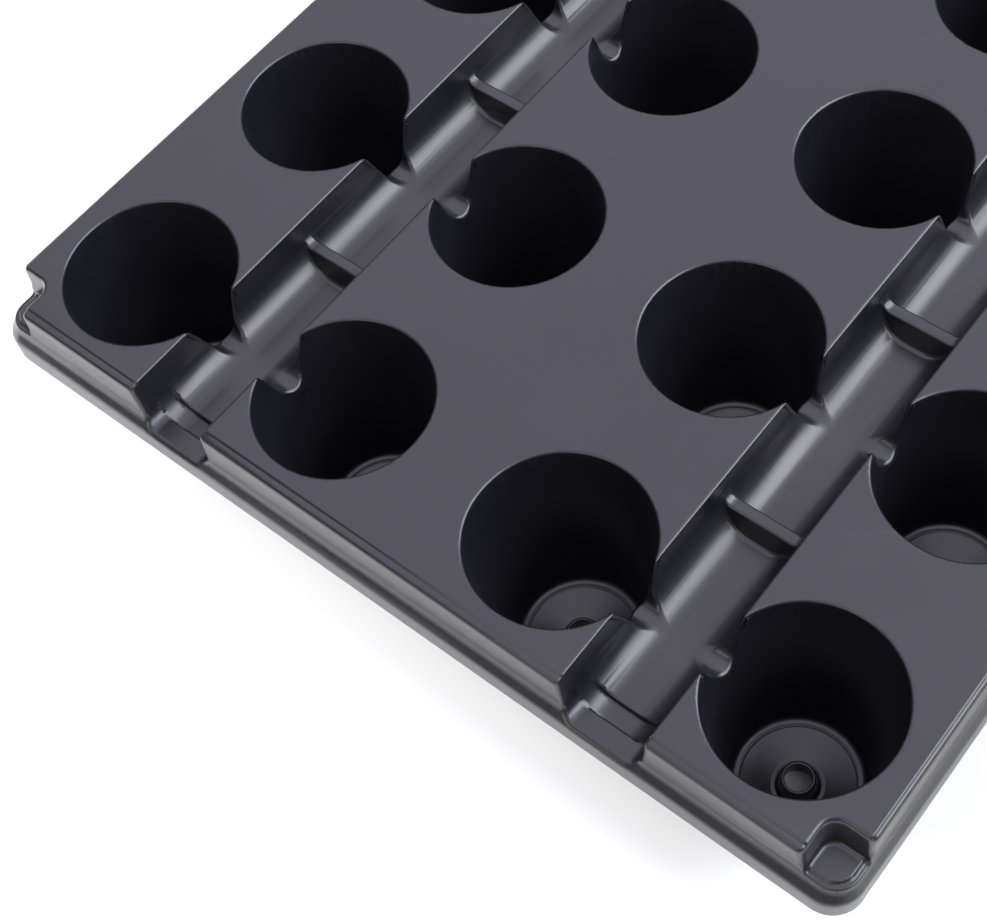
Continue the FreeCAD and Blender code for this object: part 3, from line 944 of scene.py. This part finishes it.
@dataclass(frozen=True)
class FormedPlastic:
    """Black plastic sheet with the satin face that forming leaves."""

    name: str = "formed_black_plastic"
    colour: tuple[float, float, float] = (0.005, 0.0048, 0.0072)
    dust: tuple[float, float, float] = (0.02, 0.0195, 0.024)
    roughness: float = 0.31
    roughness_below: float = 0.05
    roughness_above: float = 0.07
    refraction: float = 1.55
    haze_scale: float = 45.0
    haze_detail: float = 4.0
    haze_seen: tuple[float, float] = (0.3, 0.8)
    haze_share: tuple[float, float] = (0.05, 0.2)
    speck_scale: float = 260.0
    speck_fade: tuple[float, float] = (0.045, 0.02)
    grain_scale: float = 1400.0
    grain_detail: float = 2.0
    grain_strength: float = 0.12
    grain_height: float = 0.05 * MM

    def make(self) -> bpy.types.Material:
        """Build the material.

        Returns:
            The material, with a fine grain, a thin uneven haze and a few specks of dust.
        """
        finish = bpy.data.materials.new(self.name)
        finish.use_nodes = True
        tree = finish.node_tree
        shader = tree.nodes["Principled BSDF"]
        shader.inputs["IOR"].default_value = self.refraction
        place = tree.nodes.new("ShaderNodeTexCoord")
        link = tree.links.new

        def noise(scale: float, detail: float) -> bpy.types.Node:
            """A noise over the object's own coordinates."""
            made = tree.nodes.new("ShaderNodeTexNoise")
            made.inputs["Scale"].default_value = scale
            made.inputs["Detail"].default_value = detail
            link(place.outputs["Object"], made.inputs["Vector"])
            return made

        haze = noise(self.haze_scale, self.haze_detail)
        grain = noise(self.grain_scale, self.grain_detail)
        spread = tree.nodes.new("ShaderNodeMapRange")
        spread.inputs["From Min"].default_value = self.haze_seen[0]
        spread.inputs["From Max"].default_value = self.haze_seen[1]
        spread.inputs["To Min"].default_value = self.haze_share[0]
        spread.inputs["To Max"].default_value = self.haze_share[1]
        link(haze.outputs["Fac"], spread.inputs["Value"])
        specks = tree.nodes.new("ShaderNodeTexVoronoi")
        specks.inputs["Scale"].default_value = self.speck_scale
        link(place.outputs["Object"], specks.inputs["Vector"])
        settled = tree.nodes.new("ShaderNodeMapRange")
        settled.inputs["From Min"].default_value = self.speck_fade[0]
        settled.inputs["From Max"].default_value = self.speck_fade[1]
        link(specks.outputs["Distance"], settled.inputs["Value"])
        more = tree.nodes.new("ShaderNodeMath")
        more.operation = "MAXIMUM"
        link(spread.outputs["Result"], more.inputs[0])
        link(settled.outputs["Result"], more.inputs[1])
        tint = tree.nodes.new("ShaderNodeMix")
        tint.data_type = "RGBA"
        tint.inputs["A"].default_value = (*self.colour, 1)
        tint.inputs["B"].default_value = (*self.dust, 1)
        link(more.outputs[0], tint.inputs["Factor"])
        link(tint.outputs["Result"], shader.inputs["Base Color"])
        gloss = tree.nodes.new("ShaderNodeMapRange")
        gloss.inputs["To Min"].default_value = self.roughness - self.roughness_below
        gloss.inputs["To Max"].default_value = self.roughness + self.roughness_above
        link(haze.outputs["Fac"], gloss.inputs["Value"])
        link(gloss.outputs["Result"], shader.inputs["Roughness"])
        bump = tree.nodes.new("ShaderNodeBump")
        bump.inputs["Strength"].default_value = self.grain_strength
        bump.inputs["Distance"].default_value = self.grain_height
        link(grain.outputs["Fac"], bump.inputs["Height"])
        link(bump.outputs["Normal"], shader.inputs["Normal"])
        return finish


# --- studio -----------------------------------------------------------------------------------


@dataclass(frozen=True)
class SoftBox:
    """A flat, evenly bright studio light."""

    name: str
    centre: tuple[float, float, float]
    aim: tuple[float, float, float]
    size: tuple[float, float]
    brightness: float
    tint: tuple[float, float, float] = (1.0, 1.0, 1.0)
    floor_only: bool = False

    def hang(self, floor: bpy.types.Collection) -> None:
        """Hang the light and turn it to what it lights, as bright as it looks from any side.

        Args:
            floor: Collection that holds the floor alone.
        """
        data = bpy.data.lights.new(self.name, "AREA")
        data.shape = "RECTANGLE"
        data.size, data.size_y = self.size
        data.color = self.tint
        data.energy = self.brightness * math.pi * self.size[0] * self.size[1]
        lamp = bpy.data.objects.new(self.name, data)
        lamp.location = self.centre
        aim = Vector(self.aim) - Vector(self.centre)
        lamp.rotation_euler = aim.to_track_quat("-Z", "Y").to_euler()
        lamp.visible_camera = False
        if self.floor_only:
            lamp.light_linking.receiver_collection = floor
        bpy.context.scene.collection.objects.link(lamp)


@dataclass
class Studio:
    """Camera, floor and soft light."""

    eye: tuple[float, float, float] = (0.16631, -0.34810, 0.37479)
    turn: tuple[float, float, float] = (26.822, 4.1475, 37.2109)
    lens: float = 56.70
    shift: tuple[float, float] = (-0.1367, 0.1077)
    floor_half: float = 3.0
    floor_gap: float = 0.05 * MM
    floor_shade: float = 0.15
    floor_roughness: float = 0.8
    sensor: float = 36.0
    in_view: tuple[float, float] = (0.01, 20.0)
    surround: float = 0.3
    boxes: tuple[SoftBox, ...] = (
        SoftBox("key", centre=(0.96, 0.5, 1.03), aim=(0, -0.1, 0.05), size=(1.7, 1.0),
                brightness=7.5, tint=(0.95, 0.98, 1.06)),
        SoftBox("overhead", centre=(-0.35, 1.0, 1.6), aim=(-0.35, 1.0, 0.0), size=(3.8, 4.2),
                brightness=1.45, tint=(1.0, 0.965, 1.2)),
        SoftBox("front", centre=(0.02, -1.35, 0.85), aim=(0, -0.1, 0.05), size=(0.95, 0.4),
                brightness=3.5),
        SoftBox("floor_fill_left", centre=(-1.3, -1.0, 0.8), aim=(-0.1, -0.3, 0), size=(1.2, 1.2),
                brightness=72.0, floor_only=True),
        SoftBox("floor_fill_right", centre=(0.9, 0.2, 1.2), aim=(0.25, 0, 0.0), size=(0.9, 0.9),
                brightness=50.0, floor_only=True))

    def camera(self) -> None:
        """Set the camera over the tray's front right part."""
        data = bpy.data.cameras.new("camera")
        data.lens, data.sensor_width = self.lens, self.sensor
        data.shift_x, data.shift_y = self.shift
        data.clip_start, data.clip_end = self.in_view
        camera = bpy.data.objects.new("camera", data)
        camera.location = self.eye
        camera.rotation_euler = Euler([math.radians(angle) for angle in self.turn], "XYZ")
        bpy.context.scene.collection.objects.link(camera)
        bpy.context.scene.camera = camera

    def floor(self) -> bpy.types.Object:
        """A plain pale floor under the tray's feet.

        Returns:
            The floor.
        """
        reach = self.floor_half
        mesh = bpy.data.meshes.new("floor")
        mesh.from_pydata([(-reach, -reach, 0), (reach, -reach, 0), (reach, reach, 0),
                          (-reach, reach, 0)], [], [(0, 1, 2, 3)])
        floor = bpy.data.objects.new("floor", mesh)
        floor.location.z = -self.floor_gap
        bpy.context.scene.collection.objects.link(floor)
        paint = bpy.data.materials.new("pale_floor")
        paint.use_nodes = True
        shader = paint.node_tree.nodes["Principled BSDF"]
        shader.inputs["Base Color"].default_value = (*[self.floor_shade] * 3, 1)
        shader.inputs["Roughness"].default_value = self.floor_roughness
        mesh.materials.append(paint)
        return floor

    def light(self, floor: bpy.types.Object) -> None:
        """Hang the soft boxes in a dim surround.

        Args:
            floor: The floor, which one of them lights alone.
        """
        world = bpy.data.worlds.new("studio")
        world.use_nodes = True
        world.node_tree.nodes["Background"].inputs["Color"].default_value = (1, 1, 1, 1)
        world.node_tree.nodes["Background"].inputs["Strength"].default_value = self.surround
        bpy.context.scene.world = world
        bpy.context.scene.view_settings.view_transform = "Standard"
        alone = bpy.data.collections.new("floor_alone")
        alone.objects.link(floor)
        for box in self.boxes:
            box.hang(alone)


def main() -> None:
    """Build the tray, dress it and set up the studio."""
    logging.basicConfig(level=logging.INFO)
    sizes = TraySizes()
    low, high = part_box(TRAY_NODE)
    face = UpperFace(sizes, half_width=(high.x - low.x) / 2 - sizes.spread,
                     half_length=(high.y - low.y) / 2 - sizes.spread, deck=high.z)
    plastic = FormedPlastic().make()
    sheet = SheetPiece(sizes, face).build("formed_sheet")
    sheet.data.materials.append(plastic)
    cups = CupsPiece(sizes, high.z).build("cell_cups", plastic)
    for piece in (sheet, cups):
        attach(piece, "root")
        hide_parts(TRAY_NODE)
        log.info("%s: %d triangles", piece.name,
                 sum(len(polygon.vertices) - 2 for polygon in piece.data.polygons))
    studio = Studio()
    floor = studio.floor()
    studio.light(floor)
    studio.camera()


if __name__ == "__main__":
    main()
